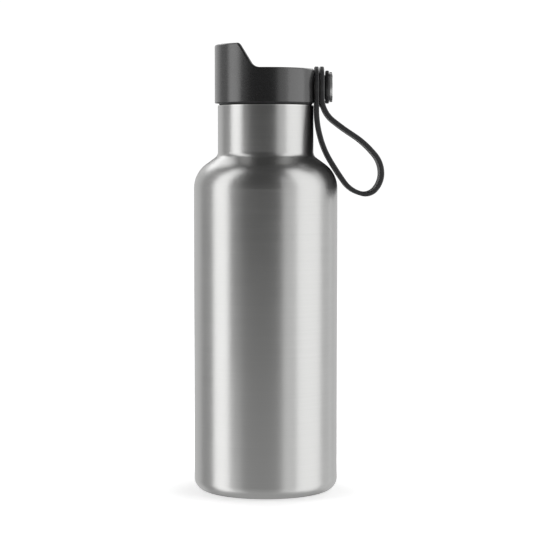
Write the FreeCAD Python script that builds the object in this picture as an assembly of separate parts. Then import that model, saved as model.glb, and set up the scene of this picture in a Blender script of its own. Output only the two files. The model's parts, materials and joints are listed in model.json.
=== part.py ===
"""Insulated water bottle with a screw lid, a push-button drinking valve and a carry strap.

Millimetres, +Z up. The origin is on the bottle's axis at the plane it stands on.
The button and the strap are on the +X side of the lid, the drinking spout on the -X side.
"""
import FreeCAD, Part
import math
import os

V = FreeCAD.Vector

# --- driving dimensions: bottle ------------------------------------------------------------
BODY_R = 36.5
SHELL_WALL = 0.6
FLASK_WALL = 0.5
VACUUM_GAP = 2.4
SHOULDER_Z = 154.2
SHOULDER_R = 15.0
SHOULDER_SLOPE = math.radians(36)
SHOULDER_TO_RIM = 41.8
NECK_R = 24.3
NECK_GAP = 0.5
NECK_FILLET = 3.5
RIM_LIP = 0.6
FLASK_FLOOR_Z = 6.0
FLASK_CORNER_R = 8.0

# --- driving dimensions: base --------------------------------------------------------------
BASE_CUP_H = 8.0
BASE_FILLET = 6.0
BASE_RING_INSET = 9.5
BASE_RECESS = 1.8
BASE_DISC_INSET = 3.0
BASE_DISC_T = 0.8
SEAL_HOLE_R = 1.5
BEAD_LAP = 0.7
GETTER_X = 12.0
GETTER_R = 6.0
GETTER_T = 1.2
GETTER_RIM = 2.0

# --- driving dimensions: screw thread ------------------------------------------------------
PITCH = 4.0
THREAD_TURNS = 1.75
THREAD_DEPTH = 0.9
THREAD_ROOT_W = 1.8
THREAD_CREST_W = 0.8
THREAD_BELOW_RIM = 11.4
THREAD_FLANK_GAP = 0.33
THREAD_SINK = 0.2
CREST_GAP = 0.4

# --- driving dimensions: lid ---------------------------------------------------------------
LID_OVERHANG = 1.55
LID_FLAT_CUT = 1.55
LID_WALL = 1.6
LID_GAP = 1.3
DECK_WALL = 2.0
DECK_ROOM = 0.9
EDGE_R = 1.0
SPOUT_H = 12.2
SPOUT_LIP = 2.8
SPOUT_RUN = 7.35
SPOUT_CORNER_R = 2.5
SPOUT_FOOT_R = 4.5
PLUG_DEPTH = 15.0
PLUG_FLOOR = 2.0
PLUG_WALL = 2.4
PLUG_FLANGE = 1.3
GASKET_T = 2.0
GASKET_INSET = 0.6
GASKET_CHAMFER = 0.5
COVER_T = 2.0
SCREW_EDGE = 3.5
SCREW_R = 1.1
SCREW_HEAD_R = 2.1
SCREW_HEAD_H = 1.6
SCREW_BITE = 7.0
SCREW_SLOT_W = 0.6
SCREW_SLOT_H = 0.7
BOSS_R = 2.5
BOSS_CLEAR = 0.46

# --- driving dimensions: spout duct --------------------------------------------------------
DUCT_HALF_W = 4.0
DUCT_HALF_SPAN = 4.0
DUCT_WALL = 0.8
DUCT_LOW_EDGE = 2.0
DUCT_HIGH_EDGE = 0.65
DUCT_RECESS = 1.0
DUCT_SEAL_W = 0.7
DUCT_SEAL_H = 0.8

# --- driving dimensions: valve -------------------------------------------------------------
STEM_R = 2.0
VALVE_HOLE_R = 5.5
VALVE_SEAL_LAP = 2.0
VALVE_SEAL_T = 1.5
VALVE_SEAL_EDGE_R = 0.5
STEM_FOOT_INSET = 1.0
STEM_FOOT_T = 2.0
STEM_GROOVE = 0.5
SPRING_CLIP_T = 1.0
SPRING_CLIP_RIM = 1.0
SPRING_CLIP_SLOT = 1.5
SPRING_CLIP_ROOM = 1.1
VALVE_SPRING_WIRE = 0.5
VALVE_SPRING_TURNS = 4
VALVE_SPRING_EDGE = 1.1
ORING_WIRE = 0.55
VENT_INSET = 9.0
VENT_STEM_R = 1.2
VENT_HEAD_R = 3.0
VENT_HEAD_T = 0.8
VENT_KNOB_LAP = 0.6
VENT_KNOB_H = 1.2

# --- driving dimensions: button ------------------------------------------------------------
BUTTON_TRAVEL = 1.5
SHAFT_R = 2.6
GUIDE_LAP = 0.9
COLLAR_LAP = 1.0
COLLAR_T = 1.2
STOP_WEB = 1.2
STUD_WALL = 1.4
STUD_FLANGE_T = 2.0
STUD_FLANGE_EDGE_R = 0.6
STUD_WEB = 0.7
STUD_TAIL = 0.8
SPRING_SEAT_T = 1.2
DISC_R = 7.6
DISC_T = 1.3
DISC_DOME = 0.3
DISC_EDGE_R = 0.25
DISC_GAP = 0.12
BEZEL_W = 0.75
PIN_INSET = 1.0
PIN_H = 0.8
RAMP_WALL = 0.35
RAMP_DROP = 1.4
RAMP_BORE = 5.5
RAMP_TO_TAIL = 2.5
BUTTON_SPRING_LAP = 1.1
BUTTON_SPRING_WIRE = 0.3
BUTTON_SPRING_TURNS = 5
CLIP_LAP = 2.5
CLIP_T = 1.9
CLIP_MOUTH = 8.0

# --- driving dimensions: carry strap -------------------------------------------------------
STRAP_T = 2.3
STRAP_EDGE_R = 0.7
STRAP_INSET = 0.3
EYE_WALL = 4.3
EYE_GAP = 0.4
EYE_PLAY = 0.6

# --- clearances ----------------------------------------------------------------------------
FIT = 0.1
RUN_FIT = 0.08
SEAT = 0.05
FREE = 0.3
EYE_FIT = 0.1

# --- derived: bottle and plug --------------------------------------------------------------
RIM_Z = SHOULDER_Z + SHOULDER_TO_RIM
NECK_BORE_R = NECK_R - SHELL_WALL - NECK_GAP - FLASK_WALL
FLASK_R = BODY_R - SHELL_WALL - VACUUM_GAP
SLOPE_RUN = FLASK_R - FLASK_WALL - NECK_BORE_R - FREE
ARC_SHARE = 1 - math.sin(SHOULDER_SLOPE)
SHOULDER_ARC_R = min(SHOULDER_R, SLOPE_RUN / ARC_SHARE - NECK_FILLET)
BASE_RING_R = BODY_R - BASE_RING_INSET
BASE_DISC_R = BASE_RING_R - BASE_DISC_INSET
THREAD_START_Z = RIM_Z - THREAD_BELOW_RIM
FLANGE_Z = RIM_Z + GASKET_T
PLUG_Z = RIM_Z - PLUG_DEPTH
PLUG_R = NECK_BORE_R - THREAD_DEPTH - CREST_GAP
PLUG_BORE_R = PLUG_R - PLUG_WALL
COVER_Z = FLANGE_Z - COVER_T

# --- derived: button -----------------------------------------------------------------------
GUIDE_R = SHAFT_R + GUIDE_LAP
COLLAR_R = GUIDE_R + COLLAR_LAP
STUD_R = COLLAR_R + FIT + STUD_WALL
STUD_FLANGE_R = DISC_R + BEZEL_W
CLIP_R = STUD_R + CLIP_LAP
BUTTON_SPRING_R = SHAFT_R + BUTTON_SPRING_LAP
RAMP_SIZE = 2 * (SHAFT_R + SEAT + RAMP_WALL)
BUTTON_Z = FLANGE_Z + PLUG_FLANGE + FIT + STUD_R
RAMP_Z = BUTTON_Z - RAMP_SIZE / 2

# --- derived: lid --------------------------------------------------------------------------
LID_R = NECK_R + LID_OVERHANG
LID_BORE_R = LID_R - LID_WALL
LID_FLAT_X = LID_R - LID_FLAT_CUT
LID_Z = RIM_Z + LID_GAP
DECK_Z = BUTTON_Z + STUD_R + DECK_ROOM + DECK_WALL
SPOUT_Z = DECK_Z + SPOUT_H
GASKET_R = LID_FLAT_X - GASKET_INSET
DUCT_LOW_X = DUCT_HALF_W + DUCT_LOW_EDGE - PLUG_BORE_R
DUCT_HIGH_X = DUCT_HALF_W + DUCT_HIGH_EDGE - LID_BORE_R
SPOUT_TOP_X = DUCT_HIGH_X + DUCT_HALF_W + SPOUT_LIP
SPOUT_FOOT_X = SPOUT_TOP_X + SPOUT_RUN
SCREW_CIRCLE_R = PLUG_BORE_R - SCREW_EDGE
SCREW_Y = DUCT_HALF_SPAN + DUCT_HALF_W + BOSS_R + BOSS_CLEAR

# --- derived: valve ------------------------------------------------------------------------
SEAL_TOP_Z = PLUG_Z - SEAT
VALVE_SEAL_R = VALVE_HOLE_R + VALVE_SEAL_LAP
STEM_FOOT_R = VALVE_SEAL_R - STEM_FOOT_INSET
SPRING_CLIP_Z = COVER_Z - SPRING_CLIP_ROOM - SPRING_CLIP_T
VALVE_SPRING_R = VALVE_HOLE_R + VALVE_SPRING_EDGE
VENT_Y = PLUG_BORE_R - VENT_INSET

# --- derived: strap, and the button along X ------------------------------------------------
STRAP_EYE_R = STUD_R + EYE_FIT + EYE_WALL
STRAP_W = 2 * (STRAP_EYE_R - STRAP_INSET)
EYE_INNER_X = LID_FLAT_X + FREE + STRAP_T / 2
EYE_OUTER_X = EYE_INNER_X + STRAP_T + EYE_GAP
STUD_BACK_X = EYE_OUTER_X + STRAP_T / 2 + EYE_PLAY
STUD_FRONT_X = STUD_BACK_X + STUD_FLANGE_T
STUD_TAIL_X = LID_FLAT_X - LID_WALL - CLIP_T - STUD_TAIL
COLLAR_STOP_X = STUD_BACK_X - STOP_WEB
RAMP_END_X = STUD_TAIL_X - RAMP_TO_TAIL
DISC_BACK_X = STUD_BACK_X + STUD_WEB + BUTTON_TRAVEL + FIT
DISC_FACE_X = DISC_BACK_X + DISC_T


# --- helpers -------------------------------------------------------------------------------
def save(node, shape):
    """Writes one node's solids, after checking them."""
    shape = shape.removeSplitter() if len(shape.Solids) == 1 else shape
    solids = shape.Solids
    assert solids and all(s.isValid() for s in solids), node
    out = solids[0] if len(solids) == 1 else Part.makeCompound(solids)
    out.exportStep(os.path.join("parts", node + ".step"))
    print(f"{node:16s} solids {len(solids)}  volume {sum(s.Volume for s in solids):10.1f}")


def cyl(r, z0, z1, x=0.0, y=0.0):
    """An upright cylinder from z0 to z1."""
    return Part.makeCylinder(r, z1 - z0, V(x, y, z0), V(0, 0, 1))


def ring(r_out, r_in, z0, z1):
    """An upright ring."""
    return cyl(r_out, z0, z1).cut(cyl(r_in, z0 - 1, z1 + 1))


def bar(r, x0, x1):
    """A cylinder along X on the button's axis."""
    return Part.makeCylinder(r, x1 - x0, V(x0, 0, BUTTON_Z), V(1, 0, 0))


def tube(r_out, r_in, x0, x1):
    """A tube along X on the button's axis."""
    return bar(r_out, x0, x1).cut(bar(r_in, x0 - 1, x1 + 1))


def block(x0, x1, y0, y1, z0, z1):
    """A box between two corners."""
    return Part.makeBox(x1 - x0, y1 - y0, z1 - z0, V(x0, y0, z0))


def line(a, b):
    """A straight edge in the XZ plane."""
    return Part.LineSegment(V(a[0], 0, a[1]), V(b[0], 0, b[1])).toShape()


def arc(centre, r, a0, a1):
    """An arc in the XZ plane between two angles, with its two ends."""
    def at(a):
        return (centre[0] + r * math.cos(a), centre[1] + r * math.sin(a))
    ends = [at(a0), at((a0 + a1) / 2), at(a1)]
    edge = Part.Arc(*[V(x, 0, z) for x, z in ends]).toShape()
    return edge, ends[0], ends[2]


def turned(edges):
    """A solid of revolution about Z from closed XZ edges."""
    face = Part.Face(Part.Wire(edges))
    return face.revolve(V(0, 0, 0), V(0, 0, 1), 360)


def rounded_path(points, share=0.48):
    """Straight runs and tangent arcs along XZ points: a list of ('line'|'arc', ...) pieces."""
    pieces = []
    start = points[0]
    for before, corner, after in zip(points, points[1:], points[2:]):
        leg_in = math.dist(before, corner)
        leg_out = math.dist(corner, after)
        u = ((corner[0] - before[0]) / leg_in, (corner[1] - before[1]) / leg_in)
        w = ((after[0] - corner[0]) / leg_out, (after[1] - corner[1]) / leg_out)
        turn = math.atan2(u[0] * w[1] - u[1] * w[0], u[0] * w[0] + u[1] * w[1])
        reach = share * min(leg_in, leg_out)
        radius = reach / math.tan(abs(turn) / 2)
        side = math.copysign(1.0, turn)
        touch = (corner[0] - u[0] * reach, corner[1] - u[1] * reach)
        centre = (touch[0] - u[1] * radius * side, touch[1] + u[0] * radius * side)
        a0 = math.atan2(touch[1] - centre[1], touch[0] - centre[0])
        pieces.append(("line", start, touch))
        pieces.append(("arc", centre, radius, a0, a0 + turn, side))
        start = (corner[0] + w[0] * reach, corner[1] + w[1] * reach)
    pieces.append(("line", start, points[-1]))
    return pieces


def ribbon(points, half_t):
    """A flat strip's XZ section: the rounded path thickened to both sides."""
    sides = []
    for sign in (1, -1):
        edges = []
        for piece in rounded_path(points):
            if piece[0] == "line":
                (ax, az), (bx, bz) = piece[1], piece[2]
                length = math.dist(piece[1], piece[2])
                nx, nz = -(bz - az) / length * half_t * sign, (bx - ax) / length * half_t * sign
                edges.append(((ax + nx, az + nz), (bx + nx, bz + nz), None))
            else:
                _, centre, radius, a0, a1, side = piece
                r = radius - side * sign * half_t
                edge, first, last = arc(centre, r, a0, a1)
                edges.append((first, last, edge))
        sides.append(edges)
    shapes = [e[2] or line(e[0], e[1]) for side in sides for e in side]
    shapes.append(line(sides[0][0][0], sides[1][0][0]))
    shapes.append(line(sides[0][-1][1], sides[1][-1][1]))
    return Part.Face(Part.Wire(Part.__sortEdges__(shapes)))


def helix_ridge(r_root, r_crest, z_mid):
    """One screw ridge standing from r_root to r_crest, centred on z_mid at its start."""
    height = PITCH * THREAD_TURNS
    helix = Part.Wire(Part.makeHelix(PITCH, height, min(r_root, r_crest)).Edges)
    half_root, half_crest = THREAD_ROOT_W / 2, THREAD_CREST_W / 2
    corners = [(r_root, -half_root), (r_crest, -half_crest), (r_crest, half_crest),
               (r_root, half_root), (r_root, -half_root)]
    profile = Part.makePolygon([V(r, 0, z) for r, z in corners])
    ridge = helix.makePipeShell([profile], True, True)
    ridge = Part.Solid(ridge) if ridge.ShapeType == "Shell" else ridge
    ridge.translate(V(0, 0, z_mid))
    return ridge


def coil(mean_r, wire_r, turns, length):
    """A compression spring from z=0 to z=length, wire included."""
    rise = length - 2 * wire_r
    helix = Part.Wire(Part.makeLongHelix(rise / turns, rise, mean_r).Edges)
    circle = Part.Wire(Part.makeCircle(wire_r, V(mean_r, 0, 0), V(0, 1, 0)))
    spring = helix.makePipeShell([circle], True, True)
    spring.translate(V(0, 0, wire_r))
    return spring


def neck_line(body_r, neck_r, arc_r, fillet_r, z_low, z_high):
    """A wall line from z_low up the body, over the shoulder and up the neck to z_high."""
    slope = SHOULDER_SLOPE
    shoulder, start, top = arc((body_r - arc_r, SHOULDER_Z), arc_r, 0.0, math.pi / 2 - slope)
    nx, nz = math.sin(slope), math.cos(slope)
    fillet_x = neck_r + fillet_r
    fillet_z = (top[0] * nx + top[1] * nz + fillet_r - fillet_x * nx) / nz
    fillet, low, high = arc((fillet_x, fillet_z), fillet_r, 1.5 * math.pi - slope, math.pi)
    return [line((body_r, z_low), start), shoulder, line(top, low), fillet, line(high, (neck_r, z_high))]


def obround(x, z, half_w, half_span):
    """A flat face at height z, rounded at both ends along Y."""
    a = Part.Arc(V(x + half_w, half_span, z), V(x, half_span + half_w, z), V(x - half_w, half_span, z))
    b = Part.Arc(V(x - half_w, -half_span, z), V(x, -half_span - half_w, z), V(x + half_w, -half_span, z))
    sides = [Part.LineSegment(V(x - half_w, half_span, z), V(x - half_w, -half_span, z)).toShape(),
             Part.LineSegment(V(x + half_w, -half_span, z), V(x + half_w, half_span, z)).toShape()]
    return Part.Face(Part.Wire([a.toShape(), sides[0], b.toShape(), sides[1]]))


def duct_prism(half_w, z0, z1):
    """A leaning obround bar on the duct's line, between two heights."""
    low_z, high_z = COVER_Z, SPOUT_Z
    lean = (DUCT_HIGH_X - DUCT_LOW_X) / (high_z - low_z)
    x0 = DUCT_LOW_X + lean * (z0 - low_z)
    return obround(x0, z0, half_w, DUCT_HALF_SPAN).extrude(V(lean * (z1 - z0), 0, z1 - z0))


# --- bottle --------------------------------------------------------------------------------
def outer_shell():
    """The brushed outer wall: body, shoulder and neck."""
    w = SHELL_WALL
    z_top = RIM_Z - RIM_LIP
    outside = neck_line(BODY_R, NECK_R, SHOULDER_ARC_R, NECK_FILLET, BASE_CUP_H, z_top)
    inside = neck_line(BODY_R - w, NECK_R - w, SHOULDER_ARC_R - w, NECK_FILLET + w, BASE_CUP_H, z_top)
    ends = [line((BODY_R, BASE_CUP_H), (BODY_R - w, BASE_CUP_H)),
            line((NECK_R, z_top), (NECK_R - w, z_top))]
    return turned(Part.__sortEdges__(outside + inside + ends))


def inner_flask():
    """The inner vessel with its rolled rim and the neck's screw thread."""
    out_r = FLASK_R
    in_r = out_r - FLASK_WALL
    drop = BODY_R - out_r
    arc_r = SHOULDER_ARC_R - drop
    neck_out = NECK_BORE_R + FLASK_WALL
    corner = FLASK_CORNER_R
    z_lip = RIM_Z - RIM_LIP
    z_in = FLASK_FLOOR_Z + FLASK_WALL
    z_low = FLASK_FLOOR_Z + corner
    outside = neck_line(out_r, neck_out, arc_r, NECK_FILLET + drop, z_low, z_lip)
    inside = neck_line(in_r, NECK_BORE_R, arc_r - FLASK_WALL, NECK_FILLET + drop + FLASK_WALL,
                       z_low, RIM_Z)
    centre = (out_r - corner, z_low)
    floor_out, _, low_out = arc(centre, corner, 0, -math.pi / 2)
    floor_in, _, low_in = arc(centre, corner - FLASK_WALL, 0, -math.pi / 2)
    edges = outside + inside + [floor_out, floor_in]
    edges += [line(low_out, (0, FLASK_FLOOR_Z)), line((0, FLASK_FLOOR_Z), (0, z_in)),
              line((0, z_in), low_in)]
    edges += [line((neck_out, z_lip), (NECK_R, z_lip)), line((NECK_R, z_lip), (NECK_R, RIM_Z)),
              line((NECK_R, RIM_Z), (NECK_BORE_R, RIM_Z))]
    flask = turned(Part.__sortEdges__(edges))
    ridge = helix_ridge(NECK_BORE_R + THREAD_SINK, NECK_BORE_R - THREAD_DEPTH, THREAD_START_Z)
    return flask.fuse(ridge)


def base_cup():
    """The welded bottom: rounded edge, standing ring and recessed centre."""
    w = SHELL_WALL
    centre = (BODY_R - BASE_FILLET, BASE_FILLET)
    edge_out, _, foot_out = arc(centre, BASE_FILLET, 0, -math.pi / 2)
    edge_in, _, foot_in = arc(centre, BASE_FILLET - w, 0, -math.pi / 2)
    step = BASE_RING_R - BASE_RECESS
    outline = [line((BODY_R, BASE_CUP_H), (BODY_R, BASE_FILLET)), edge_out,
               line(foot_out, (BASE_RING_R, 0)), line((BASE_RING_R, 0), (step, BASE_RECESS)),
               line((step, BASE_RECESS), (0, BASE_RECESS)),
               line((0, BASE_RECESS), (0, BASE_RECESS + w)),
               line((0, BASE_RECESS + w), (step + w / 2, BASE_RECESS + w)),
               line((step + w / 2, BASE_RECESS + w), (BASE_RING_R + w / 2, w)),
               line((BASE_RING_R + w / 2, w), foot_in), edge_in,
               line((BODY_R - w, BASE_FILLET), (BODY_R - w, BASE_CUP_H)),
               line((BODY_R - w, BASE_CUP_H), (BODY_R, BASE_CUP_H))]
    cup = turned(outline)
    return cup.cut(cyl(SEAL_HOLE_R, 0, BASE_FILLET))


def base_disc():
    """The thin disc that hides the vacuum seal."""
    z1 = BASE_RECESS - SEAT
    disc = cyl(BASE_DISC_R, z1 - BASE_DISC_T, z1)
    return disc.makeFillet(FREE, [disc.Edges[0], disc.Edges[2]])


def seal_bead():
    """The bead of brazing glass that closes the evacuation hole."""
    plug = cyl(SEAL_HOLE_R - SEAT, BASE_RECESS, BASE_RECESS + SHELL_WALL)
    cap = Part.makeSphere(SEAL_HOLE_R + BEAD_LAP, V(0, 0, BASE_RECESS + SHELL_WALL), V(0, 0, 1), 0, 90)
    return plug.fuse(cap)


def vacuum_getter():
    """The getter pill in its clip, under the flask's floor."""
    z1 = FLASK_FLOOR_Z - SEAT
    pill = cyl(GETTER_R, z1 - GETTER_T, z1, GETTER_X)
    return pill.cut(cyl(GETTER_R - GETTER_RIM, z1 - GETTER_T - 1, z1 - GETTER_T / 2, GETTER_X))


# --- lid -----------------------------------------------------------------------------------
def side_profile(inset):
    """The space above the lid, as an XZ prism, moved down and left by the wall inset."""
    far = 2 * LID_R
    top = SPOUT_Z - inset
    foot = DECK_Z - inset
    lean = (SPOUT_FOOT_X - SPOUT_TOP_X) / SPOUT_H
    run = math.hypot(1.0, lean) * inset
    top_x = SPOUT_TOP_X - run + lean * inset
    foot_x = SPOUT_FOOT_X - run + lean * inset
    corner = max(SPOUT_CORNER_R - inset, 0.4)
    edges = [line((far, 2 * SPOUT_Z), (-far, 2 * SPOUT_Z)), line((-far, 2 * SPOUT_Z), (-far, top))]
    slope = math.atan2(SPOUT_H, SPOUT_FOOT_X - SPOUT_TOP_X)
    reach = corner * math.tan(slope / 2)
    low_reach = (SPOUT_FOOT_R + inset) * math.tan(slope / 2)
    dx, dz = math.cos(slope), -math.sin(slope)
    a = (top_x - reach, top)
    b_edge, a_end, b = arc((a[0], top - corner), corner, math.pi / 2, math.pi / 2 - slope)
    c = (foot_x - dx * low_reach, foot - dz * low_reach)
    d = (foot_x + low_reach, foot)
    d_edge, _, _ = arc((d[0], foot + SPOUT_FOOT_R + inset), SPOUT_FOOT_R + inset,
                       1.5 * math.pi - slope, 1.5 * math.pi)
    edges += [line((-far, top), a), b_edge, line(b, c), d_edge, line(d, (far, foot)),
              line((far, foot), (far, 2 * SPOUT_Z))]
    face = Part.Face(Part.Wire(Part.__sortEdges__(edges)))
    prism = face.extrude(V(0, 2 * far, 0))
    prism.translate(V(0, -far, 0))
    return prism


def lid_shell():
    """The moulded outer lid: round wall, deck, raised spout and the flat for the button."""
    body = cyl(LID_R, LID_Z, SPOUT_Z).cut(side_profile(0.0))
    body = body.cut(block(LID_FLAT_X, 2 * LID_R, -LID_R, LID_R, 0, 2 * SPOUT_Z)).removeSplitter()
    rims = [e for e in body.Edges
            if e.BoundBox.ZMin > DECK_Z - SEAT and e.BoundBox.DiagonalLength > LID_R / 2
            and abs(math.hypot(e.CenterOfMass.x, e.CenterOfMass.y)) > 1.0
            and all(abs(math.hypot(v.X, v.Y) - LID_R) < SEAT for v in e.Vertexes)
            and e.BoundBox.ZMax - e.BoundBox.ZMin < SEAT]
    body = body.makeFillet(EDGE_R, rims)
    bore = cyl(LID_BORE_R, LID_Z - 1, SPOUT_Z).cut(side_profile(DECK_WALL))
    bore = bore.cut(block(LID_FLAT_X - LID_WALL, 2 * LID_R, -LID_R, LID_R, 0, 2 * SPOUT_Z))
    shell = body.cut(bore)
    roof = side_profile(DECK_WALL / 2)
    for x, y in screw_places():
        shell = shell.fuse(cyl(BOSS_R, FLANGE_Z, SPOUT_Z, x, y).cut(roof))
        shell = shell.cut(cyl(SCREW_R + SEAT, FLANGE_Z - 1, FLANGE_Z + SCREW_BITE + FREE, x, y))
    shell = shell.cut(cyl(GASKET_R + FIT, 0, FLANGE_Z + SEAT))
    shell = shell.cut(bar(STUD_R + SEAT, STUD_TAIL_X, STUD_BACK_X))
    return shell.cut(duct_prism(DUCT_HALF_W + SEAT, SPOUT_Z - 2 * DECK_WALL, SPOUT_Z + 1))


def screw_places():
    """The four cover screws, clear of the button's rod and of the duct."""
    x = math.sqrt(SCREW_CIRCLE_R ** 2 - SCREW_Y ** 2)
    return [(x, SCREW_Y), (-x, SCREW_Y), (-x, -SCREW_Y), (x, -SCREW_Y)]


def lid_plug():
    """The threaded stopper: flange, wall with the screw thread, and the floor with the valve hole."""
    body = cyl(PLUG_R, PLUG_Z, FLANGE_Z).fuse(cyl(LID_BORE_R - FIT, FLANGE_Z, FLANGE_Z + PLUG_FLANGE))
    body = body.cut(cyl(PLUG_BORE_R, PLUG_Z + PLUG_FLOOR, 2 * FLANGE_Z))
    body = body.cut(cyl(VALVE_HOLE_R, 0, FLANGE_Z))
    body = body.cut(block(LID_FLAT_X - LID_WALL - FIT, 2 * LID_R, -LID_R, LID_R, 0, 2 * SPOUT_Z))
    flank = (THREAD_ROOT_W + THREAD_CREST_W) / 2 + THREAD_FLANK_GAP
    ridge = helix_ridge(PLUG_R - THREAD_SINK, NECK_BORE_R - FREE, THREAD_START_Z - flank)
    return body.fuse(ridge)


def neck_gasket():
    """The silicone ring between the plug's flange and the neck's rim."""
    z0 = RIM_Z + SEAT
    z1 = FLANGE_Z - SEAT
    gasket = ring(GASKET_R, PLUG_R + FIT, z0, z1)
    edge = [e for e in gasket.Edges if abs(e.BoundBox.ZMax - z0) < 0.01 and e.BoundBox.XMax > PLUG_R + 1]
    return gasket.makeChamfer(GASKET_CHAMFER, edge)


def chamber_cover():
    """The plate over the wet chamber, with the stem's gland, the duct's hole and the vent's hole."""
    cover = cyl(PLUG_BORE_R - FIT, COVER_Z, FLANGE_Z)
    cover = cover.cut(cyl(STEM_R + RUN_FIT, COVER_Z - 1, FLANGE_Z + 1))
    gland_r = STEM_R + RUN_FIT + 2 * ORING_WIRE + FIT
    mid = (COVER_Z + FLANGE_Z) / 2
    cover = cover.cut(cyl(gland_r, mid - ORING_WIRE - SEAT, mid + ORING_WIRE + SEAT))
    cover = cover.cut(duct_prism(DUCT_HALF_W + SEAT, COVER_Z - 1, FLANGE_Z + 1))
    cover = cover.cut(cyl(VENT_STEM_R + SEAT, COVER_Z - 1, FLANGE_Z + 1, 0, VENT_Y))
    for x, y in screw_places():
        cover = cover.cut(cyl(SCREW_R + SEAT, COVER_Z - 1, FLANGE_Z + 1, x, y))
    return cover


def vent_valve():
    """The silicone umbrella valve that lets air back in."""
    stem = cyl(VENT_STEM_R, COVER_Z - VENT_HEAD_T, FLANGE_Z + 1, 0, VENT_Y)
    head = Part.makeCone(VENT_HEAD_R / 2, VENT_HEAD_R, VENT_HEAD_T,
                         V(0, VENT_Y, COVER_Z - SEAT - VENT_HEAD_T), V(0, 0, 1))
    knob = Part.makeCone(VENT_STEM_R + VENT_KNOB_LAP, VENT_STEM_R, VENT_KNOB_H,
                         V(0, VENT_Y, FLANGE_Z + SEAT), V(0, 0, 1))
    return stem.fuse([head, knob])


def cover_screws():
    """Four self-tapping screws, from below, through the cover into the lid's bosses."""
    screws = []
    z1 = COVER_Z - SEAT
    z0 = z1 - SCREW_HEAD_H
    r, w, z_slot = SCREW_HEAD_R, SCREW_SLOT_W / 2, z0 + SCREW_SLOT_H
    for x, y in screw_places():
        screw = cyl(r, z0, z1, x, y).fuse(cyl(SCREW_R, z0, FLANGE_Z + SCREW_BITE, x, y))
        slot = block(x - r, x + r, y - w, y + w, z0 - 1, z_slot)
        cross = block(x - w, x + w, y - r, y + r, z0 - 1, z_slot)
        screws.append(screw.cut(slot).cut(cross))
    return Part.makeCompound(screws)


def spout_duct():
    """The leaning tube that carries the drink from the chamber to the spout."""
    z0, z1 = COVER_Z, SPOUT_Z - DUCT_RECESS
    outer = duct_prism(DUCT_HALF_W, z0, z1)
    return outer.cut(duct_prism(DUCT_HALF_W - DUCT_WALL, z0 - 1, z1 + 1))


def duct_seal():
    """The flat seal round the duct where it enters the cover."""
    z0 = FLANGE_Z
    outer = duct_prism(DUCT_HALF_W + DUCT_SEAL_W, z0, z0 + DUCT_SEAL_H)
    outer = outer.common(cyl(PLUG_BORE_R - FIT, z0 - 1, SPOUT_Z))
    return outer.cut(duct_prism(DUCT_HALF_W + SEAT, z0 - 1, z0 + DUCT_SEAL_H + 1))


# --- valve ---------------------------------------------------------------------------------
def ramp_cut(gap):
    """Everything above the 45 degree ramp, as a prism moved away from the stem by a gap."""
    z = BUTTON_Z - RAMP_DROP + gap * math.sqrt(2)
    far = 4 * RAMP_SIZE
    edges = [line((-far, z + far), (far, z - far)), line((far, z - far), (far, z + far)),
             line((far, z + far), (-far, z + far))]
    prism = Part.Face(Part.Wire(edges)).extrude(V(0, 2 * far, 0))
    prism.translate(V(0, -far, 0))
    return prism


def valve_stem():
    """The stem: foot under the seal, groove for the clip, and the ramp that the button pushes."""
    foot_top = SEAL_TOP_Z - VALVE_SEAL_T - SEAT
    half = RAMP_SIZE / 2
    head_z = FLANGE_Z + BUTTON_TRAVEL + FREE
    stem = cyl(STEM_R, foot_top - STEM_FOOT_T, head_z + 1)
    stem = stem.fuse(cyl(STEM_FOOT_R, foot_top - STEM_FOOT_T, foot_top))
    head = block(-half, half, -half, half, head_z, BUTTON_Z + RAMP_SIZE).cut(ramp_cut(0.0))
    stem = stem.fuse(head)
    z0, z1 = SPRING_CLIP_Z - SEAT, SPRING_CLIP_Z + SPRING_CLIP_T + SEAT
    return stem.cut(ring(STEM_R + 1, STEM_R - STEM_GROOVE, z0, z1))


def valve_seal():
    """The soft disc that closes the hole in the plug's floor."""
    z0 = SEAL_TOP_Z - VALVE_SEAL_T
    seal = ring(VALVE_SEAL_R, STEM_R + SEAT, z0, SEAL_TOP_Z)
    edge = [e for e in seal.Edges if e.BoundBox.XMax > VALVE_SEAL_R - 0.1 and e.BoundBox.ZMax < z0 + 0.1]
    return seal.makeFillet(VALVE_SEAL_EDGE_R, edge)


def spring_clip():
    """The spring's upper seat, an open clip snapped into the stem's groove."""
    z0 = SPRING_CLIP_Z
    half = SPRING_CLIP_SLOT / 2
    clip = ring(VALVE_SPRING_R + SPRING_CLIP_RIM, STEM_R - STEM_GROOVE + SEAT, z0, z0 + SPRING_CLIP_T)
    return clip.cut(block(-half, half, 0, 2 * VALVE_SPRING_R, z0 - 1, z0 + 2 * SPRING_CLIP_T))


def stem_oring():
    """The stem's O-ring in the cover's gland."""
    mean = STEM_R + RUN_FIT + ORING_WIRE
    return Part.makeTorus(mean, ORING_WIRE, V(0, 0, (COVER_Z + FLANGE_Z) / 2))


def valve_spring():
    """The spring that pulls the seal shut, between the plug's floor and the clip."""
    z0 = PLUG_Z + PLUG_FLOOR + SEAT
    spring = coil(VALVE_SPRING_R, VALVE_SPRING_WIRE, VALVE_SPRING_TURNS, SPRING_CLIP_Z - SEAT - z0)
    spring.translate(V(0, 0, z0))
    return spring


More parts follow.
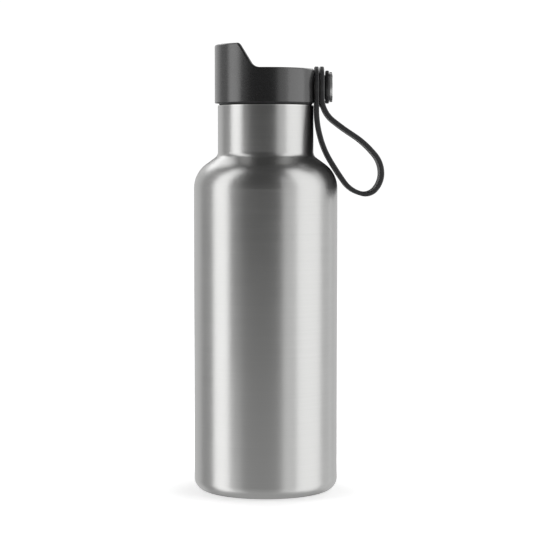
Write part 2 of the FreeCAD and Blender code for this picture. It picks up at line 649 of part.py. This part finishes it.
# --- button --------------------------------------------------------------------------------
def button_housing():
    """The collar that guides the button and carries the strap's eyes."""
    floor_x = STUD_BACK_X + STUD_WEB
    outer = bar(STUD_R, STUD_TAIL_X, STUD_BACK_X)
    flange = bar(STUD_FLANGE_R, STUD_BACK_X, STUD_FRONT_X)
    flange = flange.makeFillet(STUD_FLANGE_EDGE_R, [flange.Edges[0], flange.Edges[2]])
    body = outer.fuse(flange)
    body = body.cut(bar(COLLAR_R + FIT, STUD_TAIL_X - 1, COLLAR_STOP_X))
    body = body.cut(bar(GUIDE_R + RUN_FIT, COLLAR_STOP_X - 1, STUD_FRONT_X + 1))
    return body.cut(bar(DISC_R + DISC_GAP, floor_x, STUD_FRONT_X + 1))


def button_disc():
    """The brushed metal face of the button, slightly domed."""
    x0 = DISC_BACK_X
    edge_x = DISC_FACE_X
    rise = DISC_DOME
    radius = (DISC_R ** 2 + rise ** 2) / (2 * rise)
    ball = Part.makeSphere(radius, V(edge_x + rise - radius, 0, BUTTON_Z))
    disc = bar(DISC_R, x0, edge_x + rise).common(ball)
    rim = [e for e in disc.Edges if e.BoundBox.XMin > edge_x - 0.1 and e.BoundBox.ZLength > DISC_R]
    disc = disc.makeFillet(DISC_EDGE_R, rim)
    return disc.cut(bar(SHAFT_R - PIN_INSET + SEAT, x0 - 1, x0 + PIN_H))


def button_plunger():
    """The rod behind the disc, with the collar that stops it and the seat of its spring."""
    x0 = DISC_BACK_X - SEAT
    front = bar(GUIDE_R, COLLAR_STOP_X - COLLAR_T, x0)
    pin = bar(SHAFT_R - PIN_INSET, x0 - 1, x0 + PIN_H)
    collar = bar(COLLAR_R, COLLAR_STOP_X - SEAT - COLLAR_T, COLLAR_STOP_X - SEAT)
    shaft = bar(SHAFT_R, RAMP_END_X - RAMP_BORE + SEAT, COLLAR_STOP_X)
    return shaft.fuse([front, pin, collar])


def push_ramp():
    """The block on the rod's inner end whose slope pushes the valve stem down."""
    half = RAMP_SIZE / 2
    body = block(-2 * RAMP_SIZE, RAMP_END_X, -half, half, RAMP_Z, RAMP_Z + RAMP_SIZE)
    body = body.common(ramp_cut(FIT))
    return body.cut(bar(SHAFT_R + SEAT, RAMP_END_X - RAMP_BORE, RAMP_END_X + 1))


def button_spring():
    """The return spring round the rod, between the spring seat and the collar."""
    x0 = STUD_TAIL_X + SPRING_SEAT_T + SEAT
    length = COLLAR_STOP_X - SEAT - COLLAR_T - SEAT - x0
    spring = coil(BUTTON_SPRING_R, BUTTON_SPRING_WIRE, BUTTON_SPRING_TURNS, length)
    spring.rotate(V(0, 0, 0), V(0, 1, 0), 90)
    spring.translate(V(x0, 0, BUTTON_Z))
    return spring


def spring_seat():
    """The ring pressed into the housing's tail, which the return spring pushes against."""
    return tube(COLLAR_R + FIT - SEAT, SHAFT_R + FIT, STUD_TAIL_X, STUD_TAIL_X + SPRING_SEAT_T)


def housing_clip():
    """The C-shaped clip that holds the housing to the lid's wall from inside."""
    x1 = LID_FLAT_X - LID_WALL - SEAT
    x0 = x1 - CLIP_T
    clip = tube(CLIP_R, STUD_R + SEAT, x0, x1)
    mouth = block(x0 - 1, x1 + 1, -CLIP_MOUTH / 2, CLIP_MOUTH / 2, 0, BUTTON_Z)
    clip = clip.common(cyl(LID_BORE_R - SEAT, 0, SPOUT_Z))
    clip = clip.cut(mouth).cut(cyl(4 * LID_R, 0, FLANGE_Z + PLUG_FLANGE + SEAT))
    return clip.cut(cyl(4 * LID_R, DECK_Z - DECK_WALL - FIT, SPOUT_Z))


# --- carry strap ---------------------------------------------------------------------------
def strap_route():
    """The strap's middle line: down beside the neck, clear of the shoulder, round and back up."""
    half = STRAP_T / 2
    neck, body = NECK_R + half, BODY_R + half
    foot = SHOULDER_Z + BODY_R - NECK_R
    hanging = [(-1.05, 7.6), (5.05, -1.0), (15.25, -4.1), (21.4, 3.8), (20.5, 13.7), (12.05, 23.3),
               (1.35, 30.3)]
    route = [(EYE_INNER_X, BUTTON_Z), (EYE_INNER_X, BUTTON_Z - 18.2), (neck + 4.05, foot + 7.0)]
    route += [(body + x, SHOULDER_Z + z) for x, z in hanging]
    return route + [(EYE_OUTER_X + 3.05, BUTTON_Z - 15.0), (EYE_OUTER_X, BUTTON_Z - 8.8),
                    (EYE_OUTER_X, BUTTON_Z)]


def carry_strap():
    """One moulded strap with an eye at each end, both on the button's collar."""
    half = STRAP_T / 2
    side = STRAP_W / 2
    band = ribbon(strap_route(), half).extrude(V(0, STRAP_W, 0))
    band.translate(V(0, -side, 0))
    long_edges = [e for e in band.Edges if e.BoundBox.YLength < SEAT and e.BoundBox.ZMin < BUTTON_Z - SEAT]
    band = band.makeFillet(STRAP_EDGE_R, long_edges)
    eyes = []
    for x in (EYE_INNER_X, EYE_OUTER_X):
        eye = bar(STRAP_EYE_R, x - half, x + half)
        eyes.append(eye.makeFillet(STRAP_EDGE_R, [e for e in eye.Edges if e.BoundBox.XLength < SEAT]))
    strap = band.fuse(eyes)
    return strap.cut(bar(STUD_R + EYE_FIT, 0, 2 * EYE_OUTER_X))


PIECES = [
    outer_shell, inner_flask, base_cup, base_disc, seal_bead, vacuum_getter,
    lid_shell, lid_plug, neck_gasket, chamber_cover, vent_valve, cover_screws, spout_duct, duct_seal,
    valve_stem, valve_seal, spring_clip, stem_oring, valve_spring,
    button_housing, housing_clip, spring_seat, button_disc, button_plunger, push_ramp, button_spring,
    carry_strap,
]

os.makedirs("parts", exist_ok=True)
for piece in PIECES:
    save(piece.__name__, piece())
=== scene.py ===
"""Looks of an insulated steel water bottle with a black screw lid, push button and carry strap."""

import json
import math

import bmesh
import bpy
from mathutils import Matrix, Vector


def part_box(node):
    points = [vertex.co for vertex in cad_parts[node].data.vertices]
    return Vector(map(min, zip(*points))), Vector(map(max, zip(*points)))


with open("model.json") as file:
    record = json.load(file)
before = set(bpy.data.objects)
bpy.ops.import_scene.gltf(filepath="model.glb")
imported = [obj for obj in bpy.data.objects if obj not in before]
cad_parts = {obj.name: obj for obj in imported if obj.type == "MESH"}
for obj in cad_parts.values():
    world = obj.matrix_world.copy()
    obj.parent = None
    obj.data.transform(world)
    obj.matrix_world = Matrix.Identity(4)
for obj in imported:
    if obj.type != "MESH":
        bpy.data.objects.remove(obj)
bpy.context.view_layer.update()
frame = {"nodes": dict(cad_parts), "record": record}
NODES = frame["nodes"]
BUTTON_AXIS_Z = sum(c.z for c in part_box("button_disc")) / 2


# --- node helpers --------------------------------------------------------------------------
def new_material(name):
    """A fresh node material and its main shader."""
    material = bpy.data.materials.new(name)
    material.use_nodes = True
    return material, material.node_tree, material.node_tree.nodes["Principled BSDF"]


def add(tree, kind, **settings):
    """One node with its settings; a setting named in_X sets input X."""
    node = tree.nodes.new("ShaderNode" + kind)
    for key, value in settings.items():
        if key.startswith("in_"):
            node.inputs[key[3:].replace("_", " ")].default_value = value
        else:
            setattr(node, key, value)
    return node


def maths(tree, operation, a, b=None, clamp=False):
    """A Math node; a and b are sockets or numbers."""
    node = add(tree, "Math", operation=operation, use_clamp=clamp)
    for k, value in enumerate((a, b)):
        if value is None:
            continue
        if isinstance(value, (int, float)):
            node.inputs[k].default_value = value
        else:
            tree.links.new(value, node.inputs[k])
    return node.outputs[0]


def noise(tree, vector, scale, detail=3.0, rough=0.6):
    """A noise pattern's value on a vector socket."""
    node = add(tree, "TexNoise", in_Scale=scale, in_Detail=detail, in_Roughness=rough)
    tree.links.new(vector, node.inputs["Vector"])
    return node.outputs["Fac"]


def spread(tree, value, low, high, floor=0.0, ceiling=1.0):
    """A value stretched from one range to another, clamped."""
    node = add(tree, "MapRange")
    tree.links.new(value, node.inputs["Value"])
    for name, number in zip(("From Min", "From Max", "To Min", "To Max"), (floor, ceiling, low, high)):
        node.inputs[name].default_value = number
    return node.outputs["Result"]


def tint(tree, value, dark, light):
    """A colour between two colours, chosen by a value."""
    ramp = add(tree, "ValToRGB")
    ramp.color_ramp.elements[0].color = (*dark, 1)
    ramp.color_ramp.elements[1].color = (*light, 1)
    tree.links.new(value, ramp.inputs["Fac"])
    return ramp.outputs["Color"]


def paint(tree, tone, dark, light, shader):
    """Colours the shader between two colours by a noise tone."""
    colour = tint(tree, spread(tree, tone, 0, 1, MIDDLE_LOW, MIDDLE_HIGH), dark, light)
    tree.links.new(colour, shader.inputs["Base Color"])


def bump(tree, height, distance, shader, strength=1.0):
    """Feeds a height to the shader's normal."""
    node = add(tree, "Bump", in_Distance=distance, in_Strength=strength)
    tree.links.new(height, node.inputs["Height"])
    tree.links.new(node.outputs["Normal"], shader.inputs["Normal"])


def object_coordinates(tree):
    return add(tree, "TexCoord").outputs["Object"]


# --- materials -----------------------------------------------------------------------------
MIDDLE_LOW, MIDDLE_HIGH = 0.3, 0.7      # the part of a noise's range that is stretched
HAIR_SCALE, HAIR_DRIFT = 5200.0, 26.0   # fine brush lines: how close, and how fast they change round
BAND_SCALE, BAND_DRIFT = 900.0, 14.0    # broad brush lines
ACROSS_BRUSHING = 0.25                  # turns highlights across the brush lines


def brushed_steel(name, dark, light, rough, axis="Z", centre=(0, 0, 0), anisotropy=0.5, depth=0.000004):
    """Steel brushed in circles round an axis: fine lines, faint smudges and tone changes."""
    material, tree, shader = new_material(name)
    shift = add(tree, "VectorMath", operation="SUBTRACT")
    tree.links.new(object_coordinates(tree), shift.inputs[0])
    shift.inputs[1].default_value = centre
    parts = add(tree, "SeparateXYZ")
    tree.links.new(shift.outputs[0], parts.inputs[0])
    along = parts.outputs[axis]
    across = [parts.outputs[k] for k in "XYZ" if k != axis]
    squares = [maths(tree, "MULTIPLY", c, c) for c in across]
    radius = maths(tree, "SQRT", maths(tree, "ADD", *squares))
    profile = maths(tree, "SUBTRACT", along, radius)

    def streaks(fine, slow):
        vector = add(tree, "CombineXYZ")
        tree.links.new(maths(tree, "MULTIPLY", profile, fine), vector.inputs[2])
        for k, c in enumerate(across):
            tree.links.new(maths(tree, "MULTIPLY", c, slow), vector.inputs[k])
        return noise(tree, vector.outputs[0], 1.0, 4.0, 0.65)

    hair = streaks(HAIR_SCALE, HAIR_DRIFT)
    band = streaks(BAND_SCALE, BAND_DRIFT)
    lines = maths(tree, "ADD", maths(tree, "MULTIPLY", hair, 0.65), maths(tree, "MULTIPLY", band, 0.35))
    smudge = noise(tree, object_coordinates(tree), 38.0, 4.0, 0.55)
    tone = maths(tree, "ADD", maths(tree, "MULTIPLY", lines, 0.8), maths(tree, "MULTIPLY", smudge, 0.2))
    paint(tree, tone, dark, light, shader)
    from_lines = spread(tree, lines, rough - 0.03, rough + 0.05, MIDDLE_LOW, MIDDLE_HIGH)
    from_smudge = spread(tree, smudge, -0.015, 0.025, MIDDLE_LOW, MIDDLE_HIGH)
    tree.links.new(maths(tree, "ADD", from_lines, from_smudge), shader.inputs["Roughness"])
    shader.inputs["Metallic"].default_value = 1.0
    shader.inputs["Anisotropic"].default_value = anisotropy
    tangent = add(tree, "Tangent", direction_type="RADIAL", axis=axis)
    tree.links.new(tangent.outputs[0], shader.inputs["Tangent"])
    shader.inputs["Anisotropic Rotation"].default_value = ACROSS_BRUSHING
    bump(tree, lines, depth, shader)
    return material


def moulded(name, dark, light, rough, grain=2600.0, depth=0.00003, ior=1.5, coat=0.0, sheen=0.0):
    """Moulded plastic or rubber: fine spark-eroded grain, faint flow marks and handling shine."""
    material, tree, shader = new_material(name)
    at = object_coordinates(tree)
    fine = noise(tree, at, grain, 2.0, 0.5)
    flow = noise(tree, at, 60.0, 3.0, 0.5)
    handled = noise(tree, at, 22.0, 4.0, 0.6)
    tone = maths(tree, "ADD", maths(tree, "MULTIPLY", fine, 0.5), maths(tree, "MULTIPLY", flow, 0.5))
    paint(tree, tone, dark, light, shader)
    wear = maths(tree, "ADD", maths(tree, "MULTIPLY", handled, 0.7), maths(tree, "MULTIPLY", fine, 0.3))
    tree.links.new(spread(tree, wear, rough - 0.04, rough + 0.05, 0.35, 0.65), shader.inputs["Roughness"])
    shader.inputs["IOR"].default_value = ior
    shader.inputs["Coat Weight"].default_value = coat
    shader.inputs["Coat Roughness"].default_value = rough
    shader.inputs["Sheen Weight"].default_value = sheen
    bump(tree, fine, depth, shader)
    return material


def plain_metal(name, dark, light, rough):
    """Drawn or turned metal for the small inner pieces."""
    material, tree, shader = new_material(name)
    at = object_coordinates(tree)
    drawn = noise(tree, at, 900.0, 3.0, 0.6)
    paint(tree, drawn, dark, light, shader)
    roughness = spread(tree, drawn, rough - 0.05, rough + 0.08, MIDDLE_LOW, MIDDLE_HIGH)
    tree.links.new(roughness, shader.inputs["Roughness"])
    shader.inputs["Metallic"].default_value = 1.0
    bump(tree, drawn, 0.00001, shader)
    return material


DISC_CENTRE = (0, 0, BUTTON_AXIS_Z)
MATERIALS = {
    "brushed_body": brushed_steel("brushed_body", (0.45, 0.45, 0.445), (0.50, 0.50, 0.493), 0.31),
    "flask_steel": brushed_steel("flask_steel", (0.50, 0.50, 0.49), (0.60, 0.60, 0.59), 0.34),
    "button_metal": brushed_steel("button_metal", (0.66, 0.66, 0.655), (0.74, 0.74, 0.735), 0.34,
                                  "X", DISC_CENTRE),
    "braze_glass": moulded("braze_glass", (0.10, 0.11, 0.10), (0.16, 0.17, 0.15), 0.3),
    "getter_metal": plain_metal("getter_metal", (0.18, 0.18, 0.18), (0.30, 0.30, 0.30), 0.6),
    "hardware_steel": plain_metal("hardware_steel", (0.50, 0.50, 0.49), (0.62, 0.62, 0.60), 0.28),
    "spring_steel": plain_metal("spring_steel", (0.42, 0.42, 0.41), (0.58, 0.58, 0.56), 0.25),
    "lid_plastic": moulded("lid_plastic", (0.003, 0.003, 0.0032), (0.005, 0.005, 0.0052), 0.25,
                           depth=0.000008, ior=1.75, coat=0.55),
    "plug_plastic": moulded("plug_plastic", (0.016, 0.016, 0.017), (0.026, 0.026, 0.027), 0.42),
    "duct_plastic": moulded("duct_plastic", (0.018, 0.018, 0.019), (0.030, 0.030, 0.031), 0.36),
    "collar_plastic": moulded("collar_plastic", (0.010, 0.010, 0.011), (0.018, 0.018, 0.019), 0.30, coat=0.2),
    "silicone": moulded("silicone", (0.012, 0.012, 0.013), (0.022, 0.022, 0.023), 0.55,
                        grain=1800.0, sheen=0.1),
    "strap_rubber": moulded("strap_rubber", (0.012, 0.012, 0.013), (0.020, 0.020, 0.021), 0.46, grain=2000.0,
                            sheen=0.15),
}


def dress_nodes():
    """Gives each CAD node the material of its slot."""
    slots = {s["node"]: s["material_slot"] for s in frame["record"]["subparts"]}
    for name, node in NODES.items():
        material = MATERIALS[slots[name]]
        node.data.materials.clear()
        node.data.materials.append(material)


dress_nodes()


# --- studio --------------------------------------------------------------------------------
FLOOR_R = 4.0
FLOOR_DROP = 0.0002             # the floor lies this far under the base
NEAR_GLOW_PAINTED_SHADE, NEAR_R = 0.55, 0.036  # painted shade: the floor's glow is lowered beside the bottle, a dark ring round its foot, so that its shadow shows
FAR_GLOW, FAR_R = 1.0, 0.09
SEEN_WHITE = 1.05               # the surround, as the camera sees it
FELT_GREY = 0.085               # the surround, as the bottle reflects it
LENS = 119.1
LENS_SHIFT = 0.0080
EYE = (0, -0.911, 0.167)
LOOK_DOWN = 0.0599              # radians


def floor():
    """A wide pale paper floor that glows: its glow is lowered beside the bottle as painted shade round the
    foot, and it is white where it meets the surround.
    """
    mesh = bpy.data.meshes.new("floor")
    form = bmesh.new()
    bmesh.ops.create_circle(form, cap_ends=True, segments=96, radius=FLOOR_R)
    form.to_mesh(mesh)
    form.free()
    plate = bpy.data.objects.new("floor", mesh)
    bpy.context.scene.collection.objects.link(plate)
    plate.location.z = -FLOOR_DROP
    material, tree, shader = new_material("floor_paper")
    fibre = noise(tree, object_coordinates(tree), 300.0, 3.0)
    tree.links.new(tint(tree, fibre, (0.62, 0.62, 0.62), (0.66, 0.66, 0.66)), shader.inputs["Base Color"])
    shader.inputs["Roughness"].default_value = 0.9
    shader.inputs["Emission Color"].default_value = (1, 1, 1, 1)
    from_bottle = add(tree, "VectorMath", operation="LENGTH")
    tree.links.new(object_coordinates(tree), from_bottle.inputs[0])
    # painted shade: the floor's own glow falls towards the bottle, darkening the floor round its foot
    glow_with_painted_shade = spread(tree, from_bottle.outputs["Value"], NEAR_GLOW_PAINTED_SHADE, FAR_GLOW, NEAR_R, FAR_R)
    tree.links.new(glow_with_painted_shade, shader.inputs["Emission Strength"])
    mesh.materials.append(material)
    plate.visible_glossy = False
    plate.visible_shadow = False


def softbox(name, azimuth, distance, height, width, tall, power, tilt_to=None):
    """A rectangular light round the bottle; azimuth 0 is in front, on -Y, and grows towards +X."""
    data = bpy.data.lights.new(name, "AREA")
    data.shape = "RECTANGLE"
    data.size = width
    data.size_y = tall
    data.energy = power * width * tall * math.pi
    light = bpy.data.objects.new(name, data)
    angle = math.radians(azimuth)
    light.location = (distance * math.sin(angle), -distance * math.cos(angle), height)
    aim = Vector((0, 0, height if tilt_to is None else tilt_to)) - light.location
    light.rotation_euler = aim.to_track_quat("-Z", "Y").to_euler()
    light.visible_camera = False
    bpy.context.scene.collection.objects.link(light)


def studio():
    """Side strips from below the floor upwards, light from behind, weak fills and one light underneath."""
    softbox("strip_left", -75, 0.62, 0.45, 0.36, 2.00, 1.85)
    softbox("strip_left_soft", -48, 0.62, 0.10, 0.18, 1.30, 0.20)
    softbox("strip_left_low", -50, 0.62, -0.32, 0.22, 0.60, 0.62)
    softbox("side_left", -110, 0.70, 0.10, 0.36, 1.30, 0.38)
    softbox("strip_right", 74, 0.62, 0.45, 0.52, 2.00, 1.55)
    softbox("strip_right_soft", 40, 0.62, 0.10, 0.30, 1.30, 0.72)
    softbox("side_right", 112, 0.70, 0.10, 0.36, 1.30, 0.75)
    softbox("back_left", -145, 0.80, 0.10, 0.60, 1.30, 0.70)
    softbox("back_right", 145, 0.80, 0.10, 0.60, 1.30, 0.70)
    softbox("back_high_left", -148, 0.80, 0.85, 0.50, 0.55, 1.6, 0.16)
    softbox("back_high_right", 148, 0.80, 0.85, 0.50, 0.55, 1.6, 0.16)
    softbox("low_front", 0, 0.70, -0.30, 1.20, 0.65, 0.42)
    softbox("floor_glow", 0, 0.01, -0.30, 0.70, 0.70, 0.50, 0.0)


def surround():
    """White behind the bottle for the camera, dim grey in everything that reflects it."""
    world = bpy.data.worlds.new("surround")
    world.use_nodes = True
    tree = world.node_tree
    tree.nodes.clear()
    seen = add(tree, "Background", in_Color=(1, 1, 1, 1), in_Strength=SEEN_WHITE)
    felt = add(tree, "Background", in_Color=(1, 1, 1, 1), in_Strength=FELT_GREY)
    path = add(tree, "LightPath")
    mix = add(tree, "MixShader")
    tree.links.new(path.outputs["Is Camera Ray"], mix.inputs[0])
    tree.links.new(felt.outputs[0], mix.inputs[1])
    tree.links.new(seen.outputs[0], mix.inputs[2])
    tree.links.new(mix.outputs[0], add(tree, "OutputWorld").inputs[0])
    bpy.context.scene.world = world


def camera():
    """A long lens a little above the bottle's middle, looking slightly down."""
    data = bpy.data.cameras.new("camera")
    data.sensor_width = 36.0
    data.lens = LENS
    data.shift_x = LENS_SHIFT
    data.clip_start = 0.01
    eye = bpy.data.objects.new("camera", data)
    eye.location = EYE
    eye.rotation_euler = (math.pi / 2 - LOOK_DOWN, 0, 0)
    bpy.context.scene.collection.objects.link(eye)
    bpy.context.scene.camera = eye


floor()
studio()
surround()
camera()
bpy.context.scene.view_settings.view_transform = "Standard"
